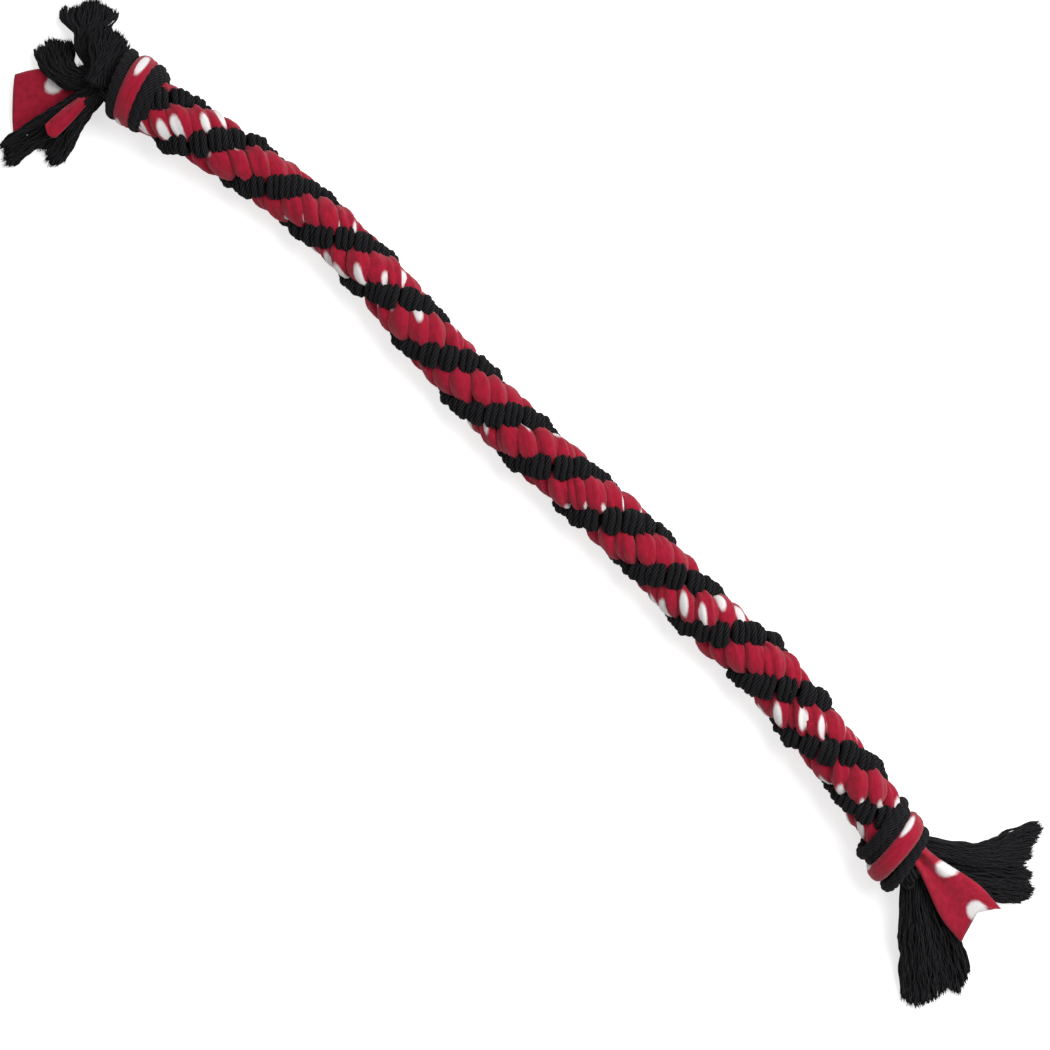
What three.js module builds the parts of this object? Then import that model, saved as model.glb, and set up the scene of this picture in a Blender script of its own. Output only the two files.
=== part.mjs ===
// A tug rope for a dog: two fleece strips and two strands of three cords each, braided round each
// other, knotted at both ends, with the loose strand ends spread out as tails.
// Lengths are in millimetres and angles in degrees. End A is at -X, end B at +X.

import * as THREE from 'three';

// Braid
const braidRadius = 13.3;
const heartRadius = 2.2;
const strandGap = 0.65;
const fleeceCrown = 2.0;
const cordCrown = 1.3;
const layPitch = 72.1;
const layStart = 108;
const strandPairs = 2;
const cordsPerStrand = 3;

// The underside is pressed flat by this depth where the rope lies on a surface
const floorPress = 1.2;

// Bending places: the rope is divided there into stretches that meet in blunt wedges
const bendPlaces = [0.25, 0.5, 0.75];
const bendLimit = 30;
const bendSpare = 6;
const bendGap = 0.4;

// Knots: the gathered strands, and the turns of strand that are drawn tight round them
const bundleRadius = 10.8;
const knotRadius = 17.4;
const wrapGap = 0.4;
const cordWrapWidth = 5.2;
const fleeceWrapWidth = 8.2;
const wrapOpening = 24;
const wrapOpeningPlace = -58;
const throatLength = 2;
const neckClearance = 4;
const neckLength = 12;
const riseLength = 70;

// Tails: three layers of strand ends leave each knot, one above another
const rootClearance = 0.4;
const lowStep = 6.4;
const topStep = 7.4;
const cordRoot = { width: 4.2, thickness: 6.2 };
const fleeceRoot = { width: 4.4, thickness: 4.0 };
const cordEndThickness = 5.4;
const fleeceEndThickness = 2.6;
const tailSlope = { low: 0.19, middle: 0.185, top: 0.19 };

// The rope's middle line as it lies, seen from above, from the face of knot A to that of knot B
const route = [
  [-267.1, -0.3], [-256.6, 3.2], [-242.4, 6.3], [-220.4, 11.0], [-198.4, 16.4], [-176.4, 20.2],
  [-154.4, 21.8], [-132.4, 22.2], [-110.4, 21.1], [-88.4, 18.3], [-66.4, 16.5], [-44.5, 15.6],
  [-22.5, 15.1], [-0.5, 16.0], [21.5, 16.7], [43.5, 17.4], [65.5, 17.2], [87.5, 15.8], [109.5, 15.6],
  [127.9, 17.1], [146.2, 15.6], [164.5, 13.5], [186.5, 11.0], [208.5, 7.7], [225.0, 4.1],
  [239.7, 1.3], [251.9, 0.3],
];

// Knots: the turns from the tails inwards, and how far each turn leans along the rope
const knots = {
  a: { turns: ['cord', 'fleece', 'cord', 'cord'], lean: 1.7 },
  b: { turns: ['cord', 'fleece', 'cord', 'cord'], lean: 3.8 },
};

// Tails: side is the root's place across the knot's face, turn the heading from straight out,
// both to the left of someone looking out along the rope
const tails = {
  a: [
    { name: 'cord_1', layer: 'middle', side: -6.8, turn: -41, length: 32, width: 24 },
    { name: 'cord_2', layer: 'middle', side: 0, turn: -9, length: 31, width: 18 },
    { name: 'cord_3', layer: 'top', side: -3, turn: -80, length: 19, width: 13 },
    { name: 'cord_4', layer: 'middle', side: 6.8, turn: 72, length: 48, width: 26 },
    { name: 'fleece_1', layer: 'low', side: -1.2, turn: 40, length: 42, width: 22 },
    { name: 'fleece_2', layer: 'top', side: 6.2, turn: 67, length: 30, width: 9 },
  ],
  b: [
    { name: 'cord_1', layer: 'middle', side: -8.2, turn: -37, length: 54, width: 16 },
    { name: 'cord_2', layer: 'middle', side: -3.2, turn: -19, length: 53, width: 16 },
    { name: 'cord_3', layer: 'middle', side: 1.6, turn: 36.5, length: 48, width: 18 },
    { name: 'cord_4', layer: 'middle', side: 8.2, turn: 58, length: 52.3, width: 18 },
    { name: 'fleece_1', layer: 'top', side: 0, turn: 5.5, length: 37, width: 23 },
    { name: 'fleece_2', layer: 'low', side: -4, turn: -27, length: 38, width: 18 },
  ],
};

// Fineness of the faceted surfaces
const ringsPerStretch = 24;
const fleeceBackPoints = 7;
const cordBackPoints = 3;
const wrapSteps = 20;
const roundSides = 8;
const rootAngles = [75, 40, 0];
const tailStations = [0.3, 0.6, 0.85, 1];
const routeDivisions = 1200;

const colours = {
  fleece: { color: 0xb3203f, roughness: 0.95 },
  cord: { color: 0x16171a, roughness: 0.9 },
};

const { cos, sin, tan, asin, abs, max, PI } = Math;
const rad = THREE.MathUtils.degToRad;
const lerp = THREE.MathUtils.lerp;
const smooth = THREE.MathUtils.smoothstep;
const up = new THREE.Vector3(0, 0, 1);

// Route in plan, measured along its length
const middleLine = new THREE.CatmullRomCurve3(
  route.map(([x, y]) => new THREE.Vector3(x, y, 0)), false, 'catmullrom', 0.5);
middleLine.arcLengthDivisions = routeDivisions;
const ropeLength = middleLine.getLength();

const wrapWidths = { cord: cordWrapWidth, fleece: fleeceWrapWidth };
const knotLengths = Object.fromEntries(Object.entries(knots).map(([end, knot]) => [
  end,
  knot.turns.reduce((sum, kind) => sum + wrapWidths[kind] + wrapGap, throatLength + 2 * knot.lean),
]));

// How much of the knot's form the rope has at a place: 1 in a knot, 0 in the braid
function knotShare(place, fade) {
  const startA = knotLengths.a + neckClearance;
  const startB = knotLengths.b + neckClearance;
  const fromA = 1 - smooth(place, startA, startA + fade);
  const fromB = 1 - smooth(ropeLength - place, startB, startB + fade);
  return max(fromA, fromB);
}

const axisHeight = (place) => lerp(braidRadius, knotRadius, knotShare(place, riseLength)) - floorPress;
const squeeze = (place) => lerp(1, bundleRadius / braidRadius, knotShare(place, neckLength));

// A point of the rope from its place along the route, its radius and its angle round the axis,
// which is 0 to the left of someone going from A to B and 90 on top
function ropePoint(place, radius, angle) {
  const share = THREE.MathUtils.clamp(place / ropeLength, 0, 1);
  const centre = middleLine.getPointAt(share);
  const along = middleLine.getTangentAt(share);
  const left = new THREE.Vector3().crossVectors(up, along);
  centre.addScaledVector(along, place - share * ropeLength);
  centre.addScaledVector(left, radius * cos(rad(angle)));
  centre.z = max(0, axisHeight(place) + radius * sin(rad(angle)));
  return centre;
}

// Closed solid through a row of rings, each an equally long list of points that goes
// anticlockwise as seen from the far end. A twisted wall is split the same way on both of
// the solids that face each other across it, from its inner edge to its outer one.
function solidThrough(rings, radii) {
  const size = rings[0].length;
  const points = rings.flat();
  const faces = [];
  for (let ring = 0; ring + 1 < rings.length; ring += 1) {
    for (let i = 0; i < size; i += 1) {
      const j = (i + 1) % size;
      const [a, b] = [ring * size + i, ring * size + j];
      const [d, c] = [a + size, b + size];
      if (radii && radii[i] > radii[j]) {
        faces.push(a, b, d, b, c, d);
      } else {
        faces.push(a, b, c, a, c, d);
      }
    }
  }
  for (const last of [false, true]) {
    const ring = last ? rings.length - 1 : 0;
    const hub = points.length;
    const centre = new THREE.Vector3();
    rings[ring].forEach((point) => centre.addScaledVector(point, 1 / size));
    points.push(centre);
    for (let i = 0; i < size; i += 1) {
      const a = ring * size + i;
      const b = ring * size + (i + 1) % size;
      faces.push(hub, last ? a : b, last ? b : a);
    }
  }
  const geometry = new THREE.BufferGeometry().setFromPoints(points);
  geometry.setIndex(faces);
  geometry.computeVertexNormals();
  return geometry;
}

function piece(name, kind, geometry) {
  const mesh = new THREE.Mesh(geometry, new THREE.MeshStandardMaterial({ ...colours[kind], metalness: 0 }));
  mesh.name = name;
  return mesh;
}

// Section of one strand of the braid: a keystone from the heart to a crowned back.
// Points are radius and angle from the strand's middle.
function strandSection(halfAngle, crown, backPoints) {
  const wall = (radius) => halfAngle - THREE.MathUtils.radToDeg(asin(strandGap / 2 / radius));
  const back = Array.from({ length: backPoints }, (_, i) => {
    const across = 2 * i / (backPoints - 1) - 1;
    const radius = braidRadius - crown * across * across;
    return [radius, across * wall(radius)];
  });
  return [...back, [heartRadius, wall(heartRadius)], [heartRadius, -wall(heartRadius)]];
}

// Where a stretch begins or ends for a point that lies so far to the side of the rope's axis:
// its end falls back on both sides, so that the next stretch can swing to the bend's limit
function stretchEnd(index, direction, offset) {
  const atKnot = index < 0 || index >= bendPlaces.length;
  if (atKnot) {
    return index < 0 ? 0 : ropeLength;
  }
  const setBack = bendGap / 2 + abs(offset) * tan(rad((bendLimit + bendSpare) / 2));
  return bendPlaces[index] * ropeLength + direction * setBack;
}

const layAngle = (place) => layStart - 360 * place / layPitch;

// Place of a section point on the end face of a stretch, found by turning it with the lay
function endPlace(index, direction, radius, angle) {
  let place = stretchEnd(index, direction, 0);
  for (let round = 0; round < 6; round += 1) {
    const offset = radius * cos(rad(angle + layAngle(place)));
    place = stretchEnd(index, direction, offset);
  }
  return place;
}

function strandStretch(section, middle, stretch) {
  const spans = section.map(([radius, angle]) => [
    endPlace(stretch - 1, 1, radius, angle + middle),
    endPlace(stretch, -1, radius, angle + middle),
  ]);
  const rings = Array.from({ length: ringsPerStretch + 1 }, (_, ring) =>
    section.map(([radius, angle], i) => {
      const place = lerp(spans[i][0], spans[i][1], ring / ringsPerStretch);
      return ropePoint(place, radius * squeeze(place), angle + middle + layAngle(place));
    }));
  return solidThrough(rings, section.map(([radius]) => radius));
}

function braid() {
  const group = new THREE.Group();
  const sector = 360 / (2 * strandPairs);
  const cordSector = sector / cordsPerStrand;
  const fleeceSection = strandSection(sector / 2, fleeceCrown, fleeceBackPoints);
  const cordSection = strandSection(cordSector / 2, cordCrown, cordBackPoints);
  for (let stretch = 0; stretch <= bendPlaces.length; stretch += 1) {
    for (let pair = 0; pair < strandPairs; pair += 1) {
      const middle = pair * 2 * sector;
      const suffix = `stretch_${stretch + 1}`;
      group.add(piece(`fleece_${pair + 1}_${suffix}`, 'fleece',
        strandStretch(fleeceSection, middle, stretch)));
      for (let cord = 0; cord < cordsPerStrand; cord += 1) {
        const turned = middle + sector / 2 + (cord + 0.5) * cordSector;
        group.add(piece(`cord_${pair * cordsPerStrand + cord + 1}_${suffix}`, 'cord',
          strandStretch(cordSection, turned, stretch)));
      }
    }
  }
  return group;
}

// Round or flattened section whose sides, rather than corners, stand at the half sizes given
function roundSection(halfWidth, halfHeight) {
  const corner = 1 / cos(PI / roundSides);
  return Array.from({ length: roundSides }, (_, side) => {
    const angle = 2 * PI * (side + 0.5) / roundSides;
    return [halfWidth * corner * cos(angle), halfHeight * corner * sin(angle)];
  });
}

// One turn of strand round the gathered bundle, open underneath where its ends tuck in
function wrap(kind, place, end, lean) {
  const halfThickness = (knotRadius - bundleRadius - wrapGap) / 2;
  const ringRadius = bundleRadius + wrapGap + halfThickness;
  const halfWidth = wrapWidths[kind] / 2;
  const fromA = end === 'a' ? place : ropeLength - place;
  const rings = Array.from({ length: wrapSteps + 1 }, (_, step) => {
    const turn = wrapOpeningPlace + wrapOpening / 2 + (360 - wrapOpening) * step / wrapSteps;
    const middle = fromA - lean * cos(rad(turn));
    return roundSection(halfWidth, halfThickness).map(([along, out]) =>
      ropePoint(middle + along, ringRadius + out, turn));
  });
  return solidThrough(rings);
}

function knot(end) {
  const group = new THREE.Group();
  const counts = { cord: 0, fleece: 0 };
  let place = throatLength + knots[end].lean;
  for (const kind of knots[end].turns) {
    counts[kind] += 1;
    const middle = place + wrapWidths[kind] / 2;
    const name = kind === 'cord' ? `knot_${end}_cord_wrap_${counts.cord}` : `knot_${end}_fleece_wrap`;
    group.add(piece(name, kind, wrap(kind, middle, end, knots[end].lean)));
    place += wrapWidths[kind] + wrapGap;
  }
  return group;
}

// Tail: a rounded root against the knot's face, then a tapering fan that slopes to the floor.
// It is made along +X with its root's centre at the origin, which is where it swings.
function tailGeometry(tail, kind, rootHeight) {
  const root = kind === 'cord' ? cordRoot : fleeceRoot;
  const endThickness = kind === 'cord' ? cordEndThickness : fleeceEndThickness;
  const stations = [
    ...rootAngles.map((angle) => ({ along: -root.width / 2 * sin(rad(angle)), swell: cos(rad(angle)) })),
    ...tailStations.map((share) => ({ along: share * tail.length, swell: 1 })),
  ];
  const rings = stations.map(({ along, swell }) => {
    const share = max(0, along / tail.length);
    const halfWidth = lerp(root.width, tail.width, share) / 2 * swell;
    const halfThickness = lerp(root.thickness, endThickness, share) / 2 * swell;
    const drop = -tailSlope[tail.layer] * max(0, along);
    return roundSection(halfWidth, halfThickness).map(([across, rise]) =>
      new THREE.Vector3(along, across, max(drop + rise, -rootHeight)));
  });
  return solidThrough(rings);
}

function tailSet(end) {
  const group = new THREE.Group();
  const atA = end === 'a';
  const face = ropePoint(atA ? 0 : ropeLength, 0, 0);
  const outward = middleLine.getTangentAt(atA ? 0 : 1).multiplyScalar(atA ? -1 : 1);
  group.position.copy(face);
  group.rotation.z = Math.atan2(outward.y, outward.x);
  const lift = { low: -lowStep, middle: 0, top: topStep };
  for (const tail of tails[end]) {
    const kind = tail.name.startsWith('cord') ? 'cord' : 'fleece';
    const root = kind === 'cord' ? cordRoot : fleeceRoot;
    const rootHeight = face.z + lift[tail.layer];
    const mesh = piece(`tail_${end}_${tail.name}`, kind, tailGeometry(tail, kind, rootHeight));
    mesh.position.set(rootClearance + root.width / 2, tail.side, lift[tail.layer]);
    mesh.rotation.z = rad(tail.turn);
    group.add(mesh);
  }
  return group;
}

const ropeToy = new THREE.Group();
ropeToy.add(braid(), knot('a'), knot('b'), tailSet('a'), tailSet('b'));

export default ropeToy;
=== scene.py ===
import math
import bpy
import numpy as np
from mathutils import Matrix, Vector


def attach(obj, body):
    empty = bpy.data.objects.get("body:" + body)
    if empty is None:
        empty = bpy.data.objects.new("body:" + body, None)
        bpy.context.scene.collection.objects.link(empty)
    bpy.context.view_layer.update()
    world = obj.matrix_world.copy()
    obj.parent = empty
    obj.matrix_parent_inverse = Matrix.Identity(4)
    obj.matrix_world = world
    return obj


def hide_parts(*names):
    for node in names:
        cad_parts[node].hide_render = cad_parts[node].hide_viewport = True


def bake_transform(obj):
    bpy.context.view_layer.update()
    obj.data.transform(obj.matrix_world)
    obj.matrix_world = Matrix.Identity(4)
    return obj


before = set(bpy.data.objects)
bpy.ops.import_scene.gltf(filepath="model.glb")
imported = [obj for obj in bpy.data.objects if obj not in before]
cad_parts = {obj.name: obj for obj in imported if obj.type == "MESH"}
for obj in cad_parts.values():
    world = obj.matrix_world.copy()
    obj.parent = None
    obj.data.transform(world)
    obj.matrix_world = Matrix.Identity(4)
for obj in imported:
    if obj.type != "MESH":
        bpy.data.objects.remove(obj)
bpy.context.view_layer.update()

mm = 0.001
tau = 2 * math.pi
up = np.array([0, 0, 1.0])
floorClear = 0.05    # mm, nothing goes lower
rounding = 1e-9


# Colour and nodes

def linear(hexColour):
    channels = [int(hexColour[i:i + 2], 16) / 255 for i in (1, 3, 5)]
    return [c / 12.92 if c <= 0.04045 else ((c + 0.055) / 1.055) ** 2.4 for c in channels] + [1]


def addNode(tree, kind, settings=None, inputs=None):
    made = tree.nodes.new(kind)
    for key, value in (settings or {}).items():
        setattr(made, key, value)
    for key, value in (inputs or {}).items():
        if isinstance(value, bpy.types.NodeSocket):
            tree.links.new(value, made.inputs[key])
        else:
            made.inputs[key].default_value = value
    return made


def newMaterial(name):
    material = bpy.data.materials.new(name)
    material.use_nodes = True
    material.node_tree.nodes.clear()
    return material, material.node_tree


# Fleece: polyester pile brushed up on both faces, so it takes no shine, edges glow a little
# and the printed spots fade out over the length of the nap. UV is in mm on the strip.
fleeceLook = {
    "red": "#C0183B",
    "deepRed": "#84081F",
    "white": "#F6F1F1",
    "cloudsPerMm": 0.35,    # patches of deeper red
    "spotSpacing": 29.0,
    "spotRadius": 4.3,
    "spotFade": 1.1,
    "spotScatter": 0.2,
    "raggedPerMm": 0.9,    # waves in the edge of a spot
    "raggedShift": 0.9,    # mm that the pile draws the edge of a spot aside
    "napSize": 0.8,    # real nap is about 0.3 mm, coarsened to show at this distance
    "napDepth": 0.35,
}


def fleeceMaterial(look):
    material, tree = newMaterial("red_brushed_polyester_fleece")
    uv = addNode(tree, "ShaderNodeUVMap").outputs["UV"]
    ragged = addNode(tree, "ShaderNodeTexNoise", {"noise_dimensions": "2D"},
                     {"Vector": uv, "Scale": look["raggedPerMm"], "Detail": 3.0})
    shift = (look["raggedShift"], look["raggedShift"], 0)
    shifted = addNode(tree, "ShaderNodeVectorMath", {"operation": "MULTIPLY_ADD"},
                      {0: ragged.outputs["Color"], 1: shift, 2: uv})
    spots = addNode(tree, "ShaderNodeTexVoronoi", {"voronoi_dimensions": "2D"},
                    {"Vector": shifted.outputs[0], "Scale": 1 / look["spotSpacing"],
                     "Randomness": look["spotScatter"]})
    inner = (look["spotRadius"] - look["spotFade"]) / look["spotSpacing"]
    outer = (look["spotRadius"] + look["spotFade"]) / look["spotSpacing"]
    whiteness = addNode(tree, "ShaderNodeMapRange", {"interpolation_type": "SMOOTHSTEP"},
                        {"Value": spots.outputs["Distance"], "From Min": inner, "From Max": outer,
                         "To Min": 1.0, "To Max": 0.0})
    cloudy = addNode(tree, "ShaderNodeTexNoise", {"noise_dimensions": "2D"},
                     {"Vector": uv, "Scale": look["cloudsPerMm"], "Detail": 4.0})
    dyed = addNode(tree, "ShaderNodeMix", {"data_type": "RGBA"},
                   {0: cloudy.outputs["Fac"], 6: linear(look["deepRed"]), 7: linear(look["red"])})
    printed = addNode(tree, "ShaderNodeMix", {"data_type": "RGBA"},
                      {0: whiteness.outputs[0], 6: dyed.outputs[2], 7: linear(look["white"])})
    nap = addNode(tree, "ShaderNodeTexNoise", {"noise_dimensions": "2D"},
                  {"Vector": uv, "Scale": 1 / look["napSize"], "Detail": 4.0, "Roughness": 0.65})
    bump = addNode(tree, "ShaderNodeBump", None,
                   {"Strength": 0.6, "Distance": look["napDepth"] * mm, "Height": nap.outputs["Fac"]})
    surface = addNode(tree, "ShaderNodeBsdfPrincipled", None,
                      {"Base Color": printed.outputs[2], "Roughness": 0.9, "IOR": 1.5,
                       "Specular IOR Level": 0.2, "Sheen Weight": 0.25, "Sheen Roughness": 0.5,
                       "Normal": bump.outputs[0]})
    addNode(tree, "ShaderNodeOutputMaterial", None, {"Surface": surface.outputs[0]})
    return material


# Cord: soft cotton yarns spun, plied and dyed black, so it stays matt and dark, with a lighter grey
# painted on the crowns of the yarns as a painted highlight. UV is in mm along and round the cord.
cordLook = {
    "black": "#050507",
    # painted highlight: the grey given to the crowns of the yarns
    "crownHighlight": "#2F2D31",
    "highlightFrom": (0.4, 0.85),    # heights between which a yarn goes from black to the painted highlight
    "yarnSize": 1.1,
    "yarnDepth": 0.3,
    "yarnSlope": 0.55,    # radians, the lay of the yarns on the cord
    "fibresPerMm": 1.6,
    "fibreShare": 0.45,    # of the relief, the rest is the yarns
}


def cordMaterial(look):
    material, tree = newMaterial("black_plied_cotton_cord")
    uv = addNode(tree, "ShaderNodeUVMap").outputs["UV"]
    slanted = addNode(tree, "ShaderNodeMapping", None,
                      {"Vector": uv, "Rotation": (0, 0, look["yarnSlope"])})
    # A wave repeats every 20 / pi of its scaled length
    yarns = addNode(tree, "ShaderNodeTexWave", {"bands_direction": "Y"},
                    {"Vector": slanted.outputs[0], "Scale": math.pi / 10 / look["yarnSize"],
                     "Distortion": 1.5, "Detail": 2.0, "Detail Scale": 1.2})
    fibres = addNode(tree, "ShaderNodeTexNoise", {"noise_dimensions": "2D"},
                     {"Vector": uv, "Scale": look["fibresPerMm"], "Detail": 5.0, "Roughness": 0.7})
    height = addNode(tree, "ShaderNodeMix", None,
                     {0: look["fibreShare"], 2: yarns.outputs["Fac"], 3: fibres.outputs["Fac"]})
    crowns = addNode(tree, "ShaderNodeMapRange", None,
                     {"Value": height.outputs[0], "From Min": look["highlightFrom"][0],
                      "From Max": look["highlightFrom"][1]})
    # yarn crowns painted grey as a painted highlight, the hollows left black as painted shade
    colour = addNode(tree, "ShaderNodeMix", {"data_type": "RGBA"},
                     {0: crowns.outputs[0], 6: linear(look["black"]), 7: linear(look["crownHighlight"])})
    bump = addNode(tree, "ShaderNodeBump", None,
                   {"Strength": 0.7, "Distance": look["yarnDepth"] * mm, "Height": height.outputs[0]})
    surface = addNode(tree, "ShaderNodeBsdfPrincipled", None,
                      {"Base Color": colour.outputs[2], "Roughness": 0.88, "IOR": 1.5,
                       "Sheen Weight": 0.03, "Sheen Roughness": 0.6, "Specular IOR Level": 0.12,
                       "Normal": bump.outputs[0]})
    addNode(tree, "ShaderNodeOutputMaterial", None, {"Surface": surface.outputs[0]})
    return material


fabrics = {"fleece": fleeceMaterial(fleeceLook), "cord": cordMaterial(cordLook)}
print("materials made")


# The rope's middle line on the floor and the knots' sizes, as in the CAD part, in mm
rope = {
    "route": [
        (-267.1, -0.3), (-256.6, 3.2), (-242.4, 6.3), (-220.4, 11.0), (-198.4, 16.4), (-176.4, 20.2),
        (-154.4, 21.8), (-132.4, 22.2), (-110.4, 21.1), (-88.4, 18.3), (-66.4, 16.5), (-44.5, 15.6),
        (-22.5, 15.1), (-0.5, 16.0), (21.5, 16.7), (43.5, 17.4), (65.5, 17.2), (87.5, 15.8),
        (109.5, 15.6), (127.9, 17.1), (146.2, 15.6), (164.5, 13.5), (186.5, 11.0), (208.5, 7.7),
        (225.0, 4.1), (239.7, 1.3), (251.9, 0.3),
    ],
    "braidRadius": 13.3,
    "knotRadius": 17.4,
    "floorPress": 1.2,
    "riseLength": 70.0,
    "knotStarts": {"a": 34.8, "b": 39.0},    # where the rope begins to come down from the knots
    "layPitch": 72.1,
    "layStart": 108.0,
    "knotAside": {"a": 1.5, "b": -2.2},    # the knots aren't drawn up quite on the middle line
}


def smoothstep(x, low, high):
    share = np.clip((np.asarray(x, float) - low) / (high - low), 0, 1)
    return share * share * (3 - 2 * share)


def lerp(a, b, share):
    return a + (b - a) * share


def unit(vectors):
    return vectors / np.maximum(np.linalg.norm(vectors, axis=-1, keepdims=True), 1e-12)


# A smooth curve through all the points, each span a cubic of the four points about it
def routeLine(points, steps=40):
    p = np.vstack([2 * points[0] - points[1], points, 2 * points[-1] - points[-2]])
    t = np.arange(steps)[:, None] / steps
    spans = []
    for a, b, c, d in zip(p, p[1:], p[2:], p[3:]):
        cubic = (3 * b - a - 3 * c + d) * t ** 3 + (2 * a - 5 * b + 4 * c - d) * t ** 2
        spans.append((cubic + (c - a) * t + 2 * b) / 2)
    return np.vstack(spans + [points[-1:]])


def pathLength(path):
    return np.concatenate([[0], np.cumsum(np.linalg.norm(np.diff(path, axis=0), axis=1))])


line = routeLine(np.array(rope["route"]))
travel = pathLength(line)
heading = unit(np.gradient(line, travel, axis=0))
ropeLength = travel[-1]


def knotShare(place, starts, fade):
    fromA = 1 - smoothstep(place, starts["a"], starts["a"] + fade)
    fromB = 1 - smoothstep(ropeLength - np.asarray(place), starts["b"], starts["b"] + fade)
    return np.maximum(fromA, fromB)


# Points from the place along the rope, the radius and the angle round its middle (0 left, 90 up).
# Gives also the way out from the middle.
def ropePoint(place, radius, degrees):
    place, radius, degrees = np.broadcast_arrays(np.asarray(place, float), radius, degrees)
    inside = np.clip(place, 0, ropeLength)
    ahead = np.stack([np.interp(inside, travel, heading[:, i]) for i in (0, 1)], -1)
    middle = np.stack([np.interp(inside, travel, line[:, i]) for i in (0, 1)], -1)
    middle = middle + ahead * (place - inside)[..., None]
    inKnot = knotShare(place, rope["knotStarts"], rope["riseLength"])
    height = lerp(rope["braidRadius"], rope["knotRadius"], inKnot)
    angle = np.radians(degrees)
    outward = np.stack([-ahead[..., 1] * np.cos(angle), ahead[..., 0] * np.cos(angle), np.sin(angle)], -1)
    centre = np.concatenate([middle, (height - rope["floorPress"])[..., None]], -1)
    return centre + outward * radius[..., None], outward


def layAngle(place):
    return rope["layStart"] - 360 * place / rope["layPitch"]


# Meshes: rings of points along a path, with the mm along and round them as UV

def sweep(path, outward, section):
    along = unit(np.gradient(path, axis=0))
    across = unit(np.cross(along, outward))
    rise = np.cross(across, along)
    return path[:, None] + section[..., :1] * across[:, None] + section[..., 1:] * rise[:, None]


def tube(rings, along, girth):
    rings = rings.copy()
    rings[..., 2] = np.maximum(rings[..., 2], floorClear)
    count, sides = rings.shape[:2]
    girth = np.broadcast_to(girth, (count, sides + 1))
    i, j = np.meshgrid(np.arange(count - 1), np.arange(sides), indexing="ij")
    k = (j + 1) % sides
    quads = np.stack([i * sides + j, (i + 1) * sides + j, (i + 1) * sides + k, i * sides + k], -1)
    u = np.stack([along[i], along[i + 1], along[i + 1], along[i]], -1)
    v = np.stack([girth[i, j], girth[i + 1, j], girth[i + 1, j + 1], girth[i, j + 1]], -1)
    first = list(range(sides))
    last = [(count - 1) * sides + s for s in reversed(first)]
    firstUv = [(along[0], girth[0, s]) for s in first]
    lastUv = [(along[-1], girth[-1, s]) for s in reversed(first)]
    faces = quads.reshape(-1, 4).tolist() + [first, last]
    uv = np.vstack([np.stack([u, v], -1).reshape(-1, 2), firstUv, lastUv])
    return rings.reshape(-1, 3), faces, uv


def addPiece(name, fabric, tubes):
    points, faces, uvs = [], [], []
    count = 0
    for tubePoints, tubeFaces, tubeUv in tubes:
        points.append(tubePoints)
        faces += [[index + count for index in face] for face in tubeFaces]
        uvs.append(tubeUv)
        count += len(tubePoints)
    mesh = bpy.data.meshes.new(name)
    mesh.from_pydata((np.vstack(points) * mm).tolist(), [], faces)
    layer = mesh.uv_layers.new(name="strip")
    layer.data.foreach_set("uv", np.vstack(uvs).astype(np.float32).ravel())
    mesh.polygons.foreach_set("use_smooth", np.ones(len(faces), bool))
    mesh.materials.append(fabrics[fabric])
    obj = bpy.data.objects.new(name, mesh)
    bpy.context.scene.collection.objects.link(obj)
    return obj


def corners(sides):
    return tau * np.arange(sides) / sides


# The outline of a cord at each place along it, with plies that wind round it
def plied(radius, sides, along, pitch, plies, depth, fullness=0.7):
    around = corners(sides)
    lobes = np.abs(np.cos(plies / 2 * (around[None] - tau * along[:, None] / pitch))) ** fullness
    size = radius * (1 - depth + depth * lobes)
    return np.stack([size * np.cos(around), size * np.sin(around)], -1)


# How near each point round a strip is to a fold that runs along it
def nearFold(around, fold, width):
    return np.exp(-((around[None] - fold[:, None]) / width) ** 2)


# Braid: four strands crowned over one another, two of fleece and two of three cords each.
# At each crown a strand comes out, leans over its neighbour and goes back in.
braid = {
    "crownLength": 6.555,
    "reach": {"fleece": 5.0, "cord": 2.0},    # mm along the rope that a stitch leans to and fro
    "sweep": {"fleece": 29.0, "cord": 27.5},    # and degrees round it
    "innerRadius": 3.2,
    "outerRadius": {"fleece": 9.2, "cord": 12.2},
    "swell": ((60, 1.02), (125, 0.93), (220, 1.04), (316, 1.06), (412, 1.07), (480, 1.03)),    # by place
    "uneven": (1.1, 5.5, 0.8),    # mm along, degrees round and mm out, stitch by stitch
    "bundleRadius": 6.6,
    "inKnot": {"fleece": 1.0, "cord": 2.1},    # times the size in the braid, as the knot is less tight
    "endPinch": {"fleece": 0.62, "cord": 1.0},    # times the size and the bundle at the very ends
    "endTaper": (1.0, 9.0),    # mm from an end over which the pinch goes
    "neckStarts": {"a": 15.0, "b": 19.0},    # mm from the ends where the bundle opens into the braid
    "neckLength": 9.0,
    "stepsPerCrown": 20,
    "endGap": 0.1,    # of a crown, left at both ends
    "seed": 5,
}
fleeceStrand = {
    "sides": 26,
    "half": (5.4, 4.2),    # of the width and the thickness, on a stitch
    "hidden": (2.6, 2.6),    # and between the stitches
    "plump": (0.86, 1.06),
    "lumpy": (0.95, 1.05),
    "lumpsPerStitch": 3,
    "folds": ((0.2, 0.55), (0.45, 0.8)),    # two along each stitch, as shares from edge to edge
    "foldDepth": (-0.15, 0.4),    # below 0 there is none
    "foldWidth": 0.24,
    "rolls": (2, 3, 5),    # lobes of the lumps, since no two stitches roll up alike
    "rollHeight": 0.055,
    "rollsPerStitch": 2,
    "printStart": 100.0,
    "printRound": (-16.0, 42.0),    # the strip is drawn in, so its spots come out narrow
    "rolling": 10.5,    # mm that the strip rolls to and fro, which hides some of the spots
    "rollingStitches": 3,
}
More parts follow.
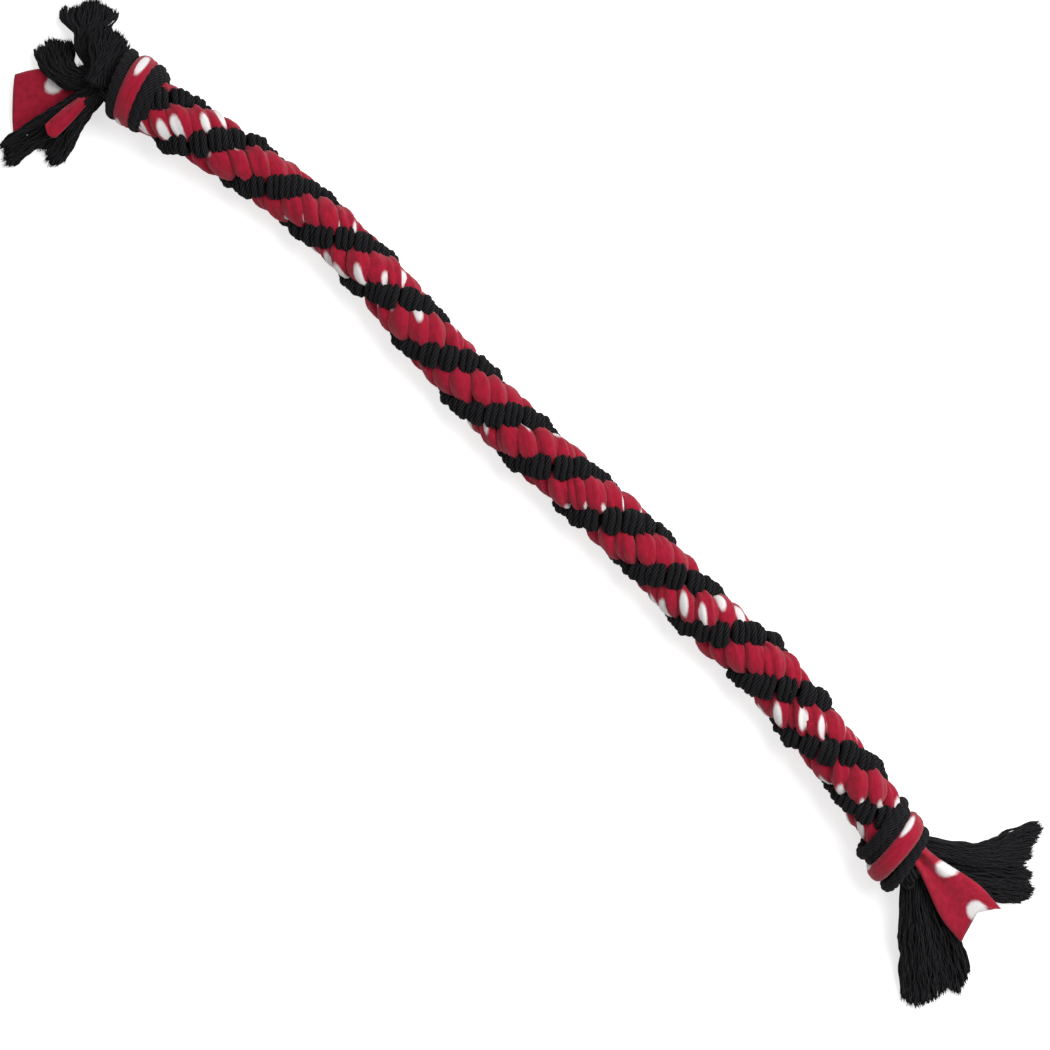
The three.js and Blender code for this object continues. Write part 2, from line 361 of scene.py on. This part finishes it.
cordStrand = {
    "sides": 18,
    "radius": 1.55,
    "tall": 1.45,    # the cords are pressed together, so they stand higher than wide
    "plump": (0.88, 1.1),
    "hidden": 0.85,
    "spread": 2.95,
    "close": 0.75,    # of the spread, between the stitches
    "uneven": 0.9,
    "round": 0.6,    # mm that the outer cords of a strand lie lower than the middle one
    "pitch": 17.0,
    "plies": 3,
    "plyDepth": 0.16,
}


# A value drawn for each stitch and blended from one stitch to the next
def eachStitch(crowns, low, high, rng):
    stitches = np.arange(-2, math.ceil(crowns[-1]) + 3)
    return np.interp(crowns, stitches, rng.uniform(low, high, len(stitches)))


# The middle of a strand and the way out from the rope, with how far it shows, how near the crest
# of a stitch it is and its size. In the knots the strands run straight, as a bundle.
def strandPath(crowns, middle, fabric, rng):
    level = crowns * braid["crownLength"]
    loose = 1 - knotShare(level, braid["neckStarts"], braid["neckLength"])
    turn = tau * crowns
    shift, twist, lift = [loose * eachStitch(crowns, -u, u, rng) for u in braid["uneven"]]
    place = level + loose * braid["reach"][fabric] * np.sin(turn) + shift
    angle = layAngle(level) + middle + loose * braid["sweep"][fabric] * np.sin(turn) + twist
    shown = 0.5 + 0.5 * np.cos(turn)
    crest = np.cos(turn).clip(0)
    swell = np.interp(place, *np.transpose(braid["swell"]))
    radius = lerp(braid["innerRadius"], braid["outerRadius"][fabric] * swell + lift, shown)
    fromEnd = smoothstep(np.minimum(level, ropeLength - level), *braid["endTaper"])
    pinch = lerp(braid["endPinch"][fabric], 1, fromEnd)
    path, outward = ropePoint(place, lerp(braid["bundleRadius"] * pinch, radius, loose), angle)
    aside = np.where(level < ropeLength / 2, rope["knotAside"]["a"], rope["knotAside"]["b"])
    path = path + (aside * (1 - loose))[:, None] * ropePoint(place, 0, 0)[1]
    size = lerp(pinch * braid["inKnot"][fabric], 1, loose)
    return path, outward, lerp(1, shown, loose), lerp(1, crest, loose), size


def fleeceTube(crowns, middle, rng):
    own = fleeceStrand
    path, outward, shown, crest, size = strandPath(crowns, middle, "fleece", rng)
    plump = size * eachStitch(crowns, *own["plump"], rng)
    plump = plump * eachStitch(own["lumpsPerStitch"] * crowns, *own["lumpy"], rng)
    around = corners(own["sides"])
    wide = lerp(own["hidden"][0], own["half"][0], crest) * plump
    thick = lerp(own["hidden"][1], own["half"][1], shown) * size
    crease = 1
    for low, high in own["folds"]:
        fold = eachStitch(crowns, low, high, rng) * math.pi
        depth = eachStitch(crowns, *own["foldDepth"], rng).clip(0)
        crease = crease * (1 - depth[:, None] * nearFold(around, fold, own["foldWidth"]))
    for lobes in own["rolls"]:
        turned = eachStitch(own["rollsPerStitch"] * crowns, 0, tau, rng)
        crease = crease * (1 + own["rollHeight"] * np.cos(lobes * around[None] + turned[:, None]))
    section = np.stack([wide[:, None] * np.cos(around), thick[:, None] * np.sin(around)], -1)
    along = pathLength(path) + rng.uniform(0, own["printStart"])
    rolled = eachStitch(crowns / own["rollingStitches"], -own["rolling"], own["rolling"], rng)
    girth = np.linspace(*own["printRound"], own["sides"] + 1) + rolled[:, None]
    return sweep(path, outward, section * crease[..., None]), along, girth


def cordTube(crowns, middle, side, seed):
    own = cordStrand
    strandRng = np.random.default_rng(seed)    # the cords of a strand run the same way
    cordRng = np.random.default_rng(10 * seed + side + 1)
    path, outward, shown, crest, size = strandPath(crowns, middle, "cord", strandRng)
    across = unit(np.cross(unit(np.gradient(path, axis=0)), outward))
    path = path + across * (side * own["spread"] * lerp(own["close"], 1, crest))[:, None]
    proud = eachStitch(crowns, -own["uneven"], own["uneven"], cordRng)
    path = path + outward * (crest * proud - abs(side) * own["round"])[:, None]
    along = pathLength(path)
    plump = size * lerp(own["hidden"], 1, shown) * eachStitch(crowns, *own["plump"], cordRng)
    section = plied(1, own["sides"], along, own["pitch"], own["plies"], own["plyDepth"])
    section = section * (own["radius"] * plump)[:, None, None]
    section[..., 1] *= own["tall"]
    girth = np.linspace(0, tau * own["radius"], own["sides"] + 1)
    return sweep(path, outward, section), along, np.tile(girth, (len(path), 1))


def bendPoint(share):
    return (ropePoint(share * ropeLength, 0, 0)[0] * mm).tolist()


def crownNear(place):
    return math.floor(place / braid["crownLength"]) + 0.5


# Each strand is cut into three pieces, from the middle of one braid body to the next; they meet inside the
# braid
bodyMiddles = {"braid_end_a": 0.125, "braid_mid_a": 0.375, "braid_mid_b": 0.625, "braid_end_b": 0.875}
spans = [
    ("near_a", "braid_mid_a", "braid_end_a", (1,)),
    ("middle", "braid_mid_a", "braid_mid_b", (2, 3)),
    ("near_b", "braid_mid_b", "braid_end_b", (4,)),
]
cuts = [crownNear(bodyMiddles[body] * ropeLength) for body in ("braid_mid_a", "braid_mid_b")]
ends = [braid["endGap"], *cuts, ropeLength / braid["crownLength"] - braid["endGap"]]


def cutStrand(node, fabric, makeTube, *settings):
    steps = np.arange(ends[0], ends[-1], 1 / braid["stepsPerCrown"])
    crowns = np.unique(np.concatenate([steps, ends]))
    rings, along, girth = makeTube(crowns, *settings)
    for (label, bodyA, bodyB, stretches), low, high in zip(spans, ends, ends[1:]):
        part = (crowns >= low - rounding) & (crowns <= high + rounding)
        start, end = bodyMiddles[bodyA], bodyMiddles[bodyB]
        obj = addPiece(f"{node}_{label}", fabric, [tube(rings[part], along[part], girth[part])])
        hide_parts(*[f"{node}_stretch_{n}" for n in stretches])
        bendPoint(start)
        bendPoint(end)
        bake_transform(obj)


rng = np.random.default_rng(braid["seed"])
for pair in range(2):
    cutStrand(f"fleece_{pair + 1}", "fleece", fleeceTube, 180 * pair, rng)
    for cord, side in enumerate((1, 0, -1)):
        cutStrand(f"cord_{3 * pair + cord + 1}", "cord", cordTube, 180 * pair + 90, side, pair)
print("braid made")


# Knots: turns of cord and fleece drawn round the gathered strands, from the tails inwards.
# Turns give the mm from the end and the radius. Print is how far the pattern is moved along and
# round, and how many mm of it go round the strip.
knots = {
    "a": {
        "turns": [("cord", 7.4, 13.8), ("fleece", 14.2, 14.0), ("cord", 20.4, 13.6), ("cord", 23.0, 12.0)],
        "lean": 1.7,
        "print": (16.4, -16.2, 85.0),
    },
    "b": {
        "turns": [("cord", 9.9, 14.0), ("fleece", 16.8, 14.4), ("cord", 22.6, 12.2), ("cord", 27.0, 13.8)],
        "lean": 4.4,
        "print": (15.3, -2.0, 58.0),
    },
    "sweep": (-52.0, 284.0),    # degrees from one tucked end over the top to the other
    "tuck": 4.0,
    "tuckShare": 0.06,
    "wander": (7, -0.4, 0.4),    # draws along a turn and their range, here in mm along the rope
    "steps": 90,
    "seed": 11,
}
cordTurn = {
    "sides": 20,
    "radius": 2.9,
    "tall": 1.05,
    "girth": 18.0,
    "pitch": 13.0,
    "plies": 3,
    "plyDepth": 0.28,
}
fleeceTurn = {
    "sides": 24,
    "half": (4.7, 3.0),
    "blunt": 0.8,    # below 1 the edges are fuller
    "plump": (8, 0.9, 1.04),
    "folds": (6, 0.25, 0.75),
    "foldDepth": 0.16,
    "foldWidth": 0.2,
    "spotsDrawn": 1.4,
}


def alongTurn(share, rng, count, low, high):
    return np.interp(share, np.linspace(0, 1, count), rng.uniform(low, high, count))


def knotTurn(end, fabric, place, radius, rng):
    share = np.linspace(0, 1, knots["steps"])
    turn = lerp(*knots["sweep"], share)
    fromA = place if end == "a" else ropeLength - place
    middle = fromA - knots[end]["lean"] * np.cos(np.radians(turn))
    middle = middle + alongTurn(share, rng, *knots["wander"])
    tucked = 1 - smoothstep(share, 0, knots["tuckShare"]) + smoothstep(share, 1 - knots["tuckShare"], 1)
    path, outward = ropePoint(middle, radius - knots["tuck"] * tucked, turn)
    ahead = heading[0 if end == "a" else -1]
    path = path + rope["knotAside"][end] * np.array([-ahead[1], ahead[0], 0])
    along = pathLength(path)
    if fabric == "cord":
        own = cordTurn
        section = plied(own["radius"], own["sides"], along, own["pitch"], own["plies"], own["plyDepth"])
        section[..., 1] *= own["tall"]
        girth = np.linspace(0, own["girth"], own["sides"] + 1)
        return tube(sweep(path, outward, section), along, girth)
    own = fleeceTurn
    around = corners(own["sides"])
    shape = np.sign(np.cos(around)) * np.abs(np.cos(around)) ** own["blunt"]
    fold = math.pi * alongTurn(share, rng, *own["folds"])
    crease = 1 - own["foldDepth"] * nearFold(around, fold, own["foldWidth"])
    wide = own["half"][0] * alongTurn(share, rng, *own["plump"])
    section = np.stack([wide[:, None] * shape, own["half"][1] * np.sin(around) * crease], -1)
    printAlong, printRound, printWide = knots[end]["print"]
    girth = np.linspace(0, printWide, own["sides"] + 1) + printRound
    return tube(sweep(path, outward, section), along / own["spotsDrawn"] + printAlong, girth)


rng = np.random.default_rng(knots["seed"])
for end in ("a", "b"):
    cords = 0
    for fabric, place, radius in knots[end]["turns"]:
        cords += fabric == "cord"
        node = f"knot_{end}_cord_wrap_{cords}" if fabric == "cord" else f"knot_{end}_fleece_wrap"
        obj = addPiece(f"{node}_drawn", fabric, [knotTurn(end, fabric, place, radius, rng)])
        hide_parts(node)
        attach(obj, f"braid_end_{end}")
print("knots made")


# Frayed tails: the cords' yarns fan out beyond the knot and end ragged. Root in mm, turn from
# straight out, and each lobe as its own turn, length, width at the end, bend to the left and how
# much longer its left edge is than the middle.
# Open and curl are the shares of the length where it fans out and where it bends.
cordTails = {
    "a_cord_1": {"root": (-271.62, 5.36, 16.2), "turn": -41, "open": (0.55, 0.9), "curl": (0, 0.6),
                 "lobes": [(52, 35, 26, -75, 0)]},
    "a_cord_2": {"root": (-269.47, -1.09, 16.2), "turn": -9, "open": (0.3, 0.9), "curl": (0.1, 0.9),
                 "lobes": [(36, 36, 18, -75, 0), (44, 33, 12, -75, 0), (-15, 13, 13, 0, 0)]},
    "a_cord_3": {"root": (-270.42, 1.75, 23.6), "turn": -80, "open": (-0.3, 0.8), "curl": (0, 1),
                 "lobes": [(-12, 16, 12, 0, 0), (14, 17, 13, 0, 0)]},
    "a_cord_4": {"root": (-267.32, -7.54, 16.2), "turn": 72, "open": (0.2, 1.0), "curl": (0, 1),
                 "lobes": [(-15, 52, 13, 0, 0), (3, 36, 14, 0, 0)]},
    "b_cord_1": {"root": (253.72, -8.08, 16.2), "turn": -37, "open": (0, 0.55), "curl": (0, 1),
                 "lobes": [(1, 54, 17, 4, 0)]},
    "b_cord_2": {"root": (254.13, -3.09, 16.2), "turn": -19, "open": (0, 0.55), "curl": (0, 1),
                 "lobes": [(-1, 54, 17, -2, -3)]},
    "b_cord_3": {"root": (254.52, 1.69, 16.2), "turn": 36.5, "open": (-0.25, 0.75), "curl": (0, 1),
                 "lobes": [(1, 48, 18, 5, 0)]},
    "b_cord_4": {"root": (247.0, 10.5, 19.0), "turn": 58, "open": (0.35, 1.0), "curl": (0.2, 0.8),
                 "lobes": [(-20, 51, 19, 22, 6)]},
}
tails = {
    "outward": {"a": -161.55, "b": -4.68},    # degrees, the way straight out of each knot
    "onTop": 20.0,    # mm, a root higher than this is on top of other tails
    "bending": (5.0, 6.0),    # mm before and after the root where a tail bends as it swings
}
fray = {
    "rootHalf": 4.4,
    "thick": (4.0, 2.2),    # half the thickness of a tail at its root and its end
    "edgeThin": 0.75,
    "slope": 0.187,
    "lies": 2.4,    # height of a tail's middle at its end, where it lies on the floor
    "landing": 0.35,    # share of the length where it starts to come down to that
    "ragged": (-1.0, 2.2),    # mm that the yarns fall short or reach past
    "endRound": 2.5,    # mm that those at the edges are shorter
    "clumped": (5.0, 2.2),    # mm across that fray together, and how much they fall short
    "wave": 0.45,
    "waveLength": (9.0, 18.0),
    "waveRise": 3,    # a yarn waves fully after one part in this many of its length
    "sway": (0.12, 40.0),    # share of the width, and mm along
    "buried": 8.0,
    "lineSteps": 120,
    "linePast": 6.0,
    "seed": 23,
}
yarn = {
    "radius": 0.55,
    "uneven": (0.8, 1.2),
    "perWidth": 6.4,
    "sides": 6,
    "steps": 24,
    "pitch": 10.0,
    "plies": 2,
    "plyDepth": 0.12,
    "tipSwell": 0.45,
    "tipRange": (0.9, 0.98),
    "tipClose": 0.55,
    "drawn": 0.3,    # yarns pulled straight show a longer twist than the cord
    "girth": 5.0,
    "patternShift": 40.0,
}
fibre = {
    "perYarn": 4,
    "radius": 0.09,
    "thinning": (1, 0.9, 0.5),
    "sides": 3,
    "rooted": 0.6,
    "length": (0.6, 1.8),
    "spread": 0.3,
    "stray": 0.55,
    "bend": 0.35,
    "facing": (0.3, 0.2, 0.9),    # any way that no fibre runs along
}


def tailAxes(end, turn):
    angle = math.radians(tails["outward"][end] + turn)
    ahead = np.array([math.cos(angle), math.sin(angle), 0])
    return ahead, np.array([-math.sin(angle), math.cos(angle), 0])


# A tail slopes down from the knot and comes to lie on the floor, unless it is on top of others
def droop(height, d, length):
    fall = fray["slope"] * np.maximum(d, 0)
    rest = height - fray["lies"] - fray["slope"] * length
    if height < tails["onTop"]:
        fall = fall + max(rest, 0) * smoothstep(d / length, fray["landing"], 1)
    return fall


# The middle line of a lobe that bends on the level, from inside the knot to past its end
def lobeLine(end, turn, length, bend, curl):
    d = np.linspace(-fray["buried"], length + fray["linePast"], fray["lineSteps"])
    angle = np.radians(tails["outward"][end] + turn + bend * smoothstep(d / length, *curl))
    ways = np.stack([np.cos(angle), np.sin(angle)], -1)
    places = np.cumsum(ways, axis=0) * (d[1] - d[0])
    return d, angle, places - [np.interp(0, d, places[:, i]) for i in (0, 1)]


def fibreTube(tip, way, rng):
    stray = rng.normal(0, fibre["stray"], 3)
    thin = fibre["radius"] * np.array(fibre["thinning"])
    grow = np.linspace(-fibre["rooted"], rng.uniform(*fibre["length"]), len(thin))
    path = tip + rng.normal(0, fibre["spread"], 3) + np.outer(grow, way)
    path = path + np.outer(grow ** 2 * fibre["bend"], stray)
    around = corners(fibre["sides"])
    section = np.stack([np.cos(around), np.sin(around)], -1)[None] * thin[:, None, None]
    rings = sweep(path, np.tile(fibre["facing"], (len(thin), 1)), section)
    return tube(rings, grow, np.linspace(0, 1, fibre["sides"] + 1))


def yarnTubes(end, tail, lobe, rng):
    turn, length, width, bend, slant = lobe
    lineAt, lineAngle, linePlace = lobeLine(end, tail["turn"] + turn, length, bend, tail["curl"])
    tubes = []
    count = round(width * yarn["perWidth"])
    clumpWide, clumpShort = fray["clumped"]
    clumps = np.linspace(-1, 1, 2 + round(width / clumpWide))
    shortness = rng.uniform(-clumpShort, clumpShort, len(clumps))
    swayShare, swayLength = fray["sway"]
    for n in range(count):
        across = 2 * (n + rng.uniform()) / count - 1
        lift = rng.uniform(-1, 1) * math.sqrt(1 - fray["edgeThin"] * across ** 2)
        reach = length + rng.uniform(*fray["ragged"]) - fray["endRound"] * across ** 2
        reach += slant * across - np.interp(across, clumps, shortness)
        d = np.linspace(-fray["buried"], reach, yarn["steps"])
        share = np.clip(d / length, 0, None)
        half = lerp(fray["rootHalf"], width / 2 - yarn["radius"], smoothstep(share, *tail["open"]))
        thick = lerp(*fray["thick"], np.clip(share, 0, 1))
        loose = fray["wave"] * np.clip(share * fray["waveRise"], 0, 1)
        wave = loose * np.sin(tau * (d / rng.uniform(*fray["waveLength"]) + rng.uniform()))
        rise = loose * np.sin(tau * (d / rng.uniform(*fray["waveLength"]) + rng.uniform()))
        height = lift * thick + rise - droop(tail["root"][2], d, length)
        sway = across * half * (1 + swayShare * np.sin(tau * (d / swayLength + rng.uniform()))) + wave
        angle = np.interp(d, lineAt, lineAngle)
        x = np.interp(d, lineAt, linePlace[:, 0]) - sway * np.sin(angle)
        y = np.interp(d, lineAt, linePlace[:, 1]) + sway * np.cos(angle)
        path = np.array(tail["root"]) + np.stack([x, y, height], -1)
        swell = 1 + yarn["tipSwell"] * smoothstep(d / reach, *yarn["tipRange"])
        size = yarn["radius"] * swell * rng.uniform(*yarn["uneven"])
        size[-1] *= yarn["tipClose"]
        along = pathLength(path)
        section = plied(1, yarn["sides"], along, yarn["pitch"], yarn["plies"], yarn["plyDepth"])
        rings = sweep(path, np.tile(up, (len(d), 1)), section * size[:, None, None])
        girth = np.linspace(0, yarn["girth"], yarn["sides"] + 1) + rng.uniform(0, yarn["patternShift"])
        tubes.append(tube(rings, along * yarn["drawn"], girth))
        way = unit(path[-1] - path[-3])
        tubes += [fibreTube(path[-1], way, rng) for hair in range(fibre["perYarn"])]
    return tubes


def blendTail(obj, name):
    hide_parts(f"tail_{name}")
    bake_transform(obj)


rng = np.random.default_rng(fray["seed"])
for name, tail in cordTails.items():
    tubes = []
    for lobe in tail["lobes"]:
        tubes += yarnTubes(name[0], tail, lobe, rng)
    obj = addPiece(f"tail_{name}_frayed", "cord", tubes)
    blendTail(obj, name)
print("cord tails made")


# Fleece tails: the strips spread from their folds in the knot to a cut end. Cut is how far the
# end falls short at places across it, in mm, from the left to the right edge.
fleeceTails = {
    "a_fleece_1": {"root": (-269.95, 0.02, 9.8), "turn": 40, "length": 49, "width": 27,
                   "cut": [0, 1.5, 3.5, 5.5, 8], "slope": 0.16, "print": (4, 7)},
    "a_fleece_2": {"root": (-267.6, -7.0, 19.4), "turn": 67, "length": 30, "width": 7.5,
                   "cut": [2, 0, 0, 1, 2], "slope": 0.14, "print": (14, 12), "tuck": 9, "rootHalf": 1.6},
    "b_fleece_1": {"root": (249.7, 4.3, 25.0), "turn": 0.5, "length": 40.5, "width": 24,
                   "cut": [0, 7, 7, 4, 1], "slope": 0.28, "print": (19, -1.5)},
    "b_fleece_2": {"root": (254.17, -3.9, 9.8), "turn": -27, "length": 38, "width": 18,
                   "cut": [0, 1, 0], "slope": 0.16, "print": (14, 12)},
}
strip = {
    "thick": 2.4,
    "edgeRound": (0.999, 8),    # where the thickness stops falling, and how late it falls
    "rootHalf": 4.4,
    "layers": 3,    # a strip laid flat is at least this many root halves wide
    "opens": (-0.2, 0.75),    # shares of the length
    "overLift": 0.22,    # how the strips on top of the knot rise towards it
    "dive": 0.6,    # how a strip that comes up between the cords rises, up to its tuck in mm
    "pleat": 1.5,
    "pleatTurns": 0.75,    # across the strip
    "pleatLoss": 0.8,    # share of the pleats that is gone where the strip is open
    "billow": 0.5,
    "billowRate": (2.2, 3),    # across and along the strip
    "buried": 10.0,
    "along": 44,
    "across": 26,
    "seed": 31,
}


def stripTube(root, ahead, side, tail, rng):
    v = np.linspace(-1, 1, strip["across"])
    short = np.interp(v, np.linspace(-1, 1, len(tail["cut"])), tail["cut"][::-1])
    rings, prints = [], []
    along = np.linspace(0, 1, strip["along"])
    phase = rng.uniform(0, tau)
    edgeStop, edgePower = strip["edgeRound"]
    edge = strip["thick"] / 2 * np.sqrt(1 - np.clip(np.abs(v), 0, edgeStop) ** edgePower)
    billowAcross, billowAlong = strip["billowRate"]
    for share in along:
        d = lerp(-strip["buried"], tail["length"] - short, share)
        spread = smoothstep(d / tail["length"], *strip["opens"])
        half = lerp(tail.get("rootHalf", strip["rootHalf"]), tail["width"] / 2, spread)
        pleat = strip["pleat"] * (1 - strip["pleatLoss"] * spread)
        fold = pleat * np.cos(tau * strip["pleatTurns"] * v + phase)
        fold = fold + strip["billow"] * spread * np.sin(billowAcross * v + billowAlong * share + phase)
        height = fold - tail["slope"] * np.maximum(d, 0)
        height = height - strip["dive"] * np.maximum(tail.get("tuck", d) - d, 0)
        if tail["root"][2] > tails["onTop"]:
            height = height + strip["overLift"] * np.maximum(-d, 0)
        sheet = root + np.outer(d, ahead) + np.outer(half * v, side) + np.outer(height, up)
        rings.append(np.vstack([sheet + np.outer(edge, up), (sheet - np.outer(edge, up))[::-1]]))
        across = half * v + tail["print"][1]
        prints.append(np.concatenate([across, across[::-1], across[:1]]))
    printed = along * tail["length"] + tail["print"][0]
    return np.array(rings)[:, ::-1], printed, np.array(prints)[:, ::-1]


rng = np.random.default_rng(strip["seed"])
for name, tail in fleeceTails.items():
    root = np.array(tail["root"])
    ahead, side = tailAxes(name[0], tail["turn"])
    rings, along, across = stripTube(root, ahead, side, tail, rng)
    obj = addPiece(f"tail_{name}_strip", "fleece", [tube(rings, along, across)])
    blendTail(obj, name)
print("fleece tails made")


# Studio: pale floor, one wide soft light from the far side of the rope and an even sky, in metres
studio = {
    "floor": "#F2F2F2",
    "floorHalf": 3.0,
    "floorLift": 0.62,
    "floorFade": (0.6, 2.4),    # from the middle, where the floor goes over into the sky
    "sky": 0.36,
    "keyPower": 14.0,
    "keySize": 0.9,
    "keyPlace": (0.25, 0.75, 1.0),
}


# Paper sweep: matt white paper, lifted for the camera alone so that the lift doesn't light the rope
def makeFloor(look):
    material, tree = newMaterial("white_paper_sweep")
    camera = addNode(tree, "ShaderNodeLightPath").outputs["Is Camera Ray"]
    place = addNode(tree, "ShaderNodeNewGeometry").outputs["Position"]
    away = addNode(tree, "ShaderNodeVectorMath", {"operation": "LENGTH"}, {0: place})
    fade = addNode(tree, "ShaderNodeMapRange", None,
                   {"Value": away.outputs["Value"], "From Min": look["floorFade"][0],
                    "From Max": look["floorFade"][1], "To Min": look["floorLift"], "To Max": 1.0})
    lift = addNode(tree, "ShaderNodeMath", {"operation": "MULTIPLY"}, {0: camera, 1: fade.outputs[0]})
    glow = addNode(tree, "ShaderNodeEmission", None, {"Strength": lift.outputs[0]})
    paper = addNode(tree, "ShaderNodeBsdfDiffuse", None, {"Color": linear(look["floor"])})
    both = addNode(tree, "ShaderNodeAddShader", None, {0: glow.outputs[0], 1: paper.outputs[0]})
    addNode(tree, "ShaderNodeOutputMaterial", None, {"Surface": both.outputs[0]})
    h = look["floorHalf"]
    mesh = bpy.data.meshes.new("floor")
    mesh.from_pydata([(-h, -h, 0), (h, -h, 0), (h, h, 0), (-h, h, 0)], [], [(0, 1, 2, 3)])
    mesh.materials.append(material)
    floor = bpy.data.objects.new("floor", mesh)
    bpy.context.scene.collection.objects.link(floor)


# White to the camera, dimmer as a light
def makeSky(look):
    world = bpy.data.worlds.new("studio")
    world.use_nodes = True
    world.node_tree.nodes.clear()
    tree = world.node_tree
    camera = addNode(tree, "ShaderNodeLightPath").outputs["Is Camera Ray"]
    level = addNode(tree, "ShaderNodeMath", {"operation": "MULTIPLY_ADD"},
                    {0: camera, 1: 1 - look["sky"], 2: look["sky"]})
    sky = addNode(tree, "ShaderNodeBackground", None,
                  {"Color": (1, 1, 1, 1), "Strength": level.outputs[0]})
    addNode(tree, "ShaderNodeOutputWorld", None, {"Surface": sky.outputs[0]})
    bpy.context.scene.world = world


def makeKey(look):
    light = bpy.data.lights.new("key", "AREA")
    light.energy = look["keyPower"]
    light.size = look["keySize"]
    key = bpy.data.objects.new("key", light)
    bpy.context.scene.collection.objects.link(key)
    key.location = look["keyPlace"]
    key.rotation_mode = "QUATERNION"
    key.rotation_quaternion = (-Vector(look["keyPlace"])).to_track_quat("-Z", "Y")


# Camera: straight down, the rope running from the upper left to the lower right
view = {
    "middle": (0.01155, -0.0128),
    "width": 0.4812,    # metres across the picture, at the level of the rope's middle
    "level": 0.014,
    "lens": 85.0,
    "sensor": 36.0,
    "roll": 44.21,
    "clip": (0.01, 20.0),
}


def makeCamera(look):
    data = bpy.data.cameras.new("camera")
    data.lens = look["lens"]
    data.sensor_width = look["sensor"]
    data.clip_start, data.clip_end = look["clip"]
    camera = bpy.data.objects.new("camera", data)
    bpy.context.scene.collection.objects.link(camera)
    far = look["width"] / look["sensor"] * look["lens"]
    camera.location = (*look["middle"], look["level"] + far)
    camera.rotation_euler = (0, 0, math.radians(look["roll"]))
    bpy.context.scene.camera = camera


makeFloor(studio)
makeSky(studio)
makeKey(studio)
makeCamera(view)
bpy.context.scene.view_settings.view_transform = "Standard"
print("studio and camera set")
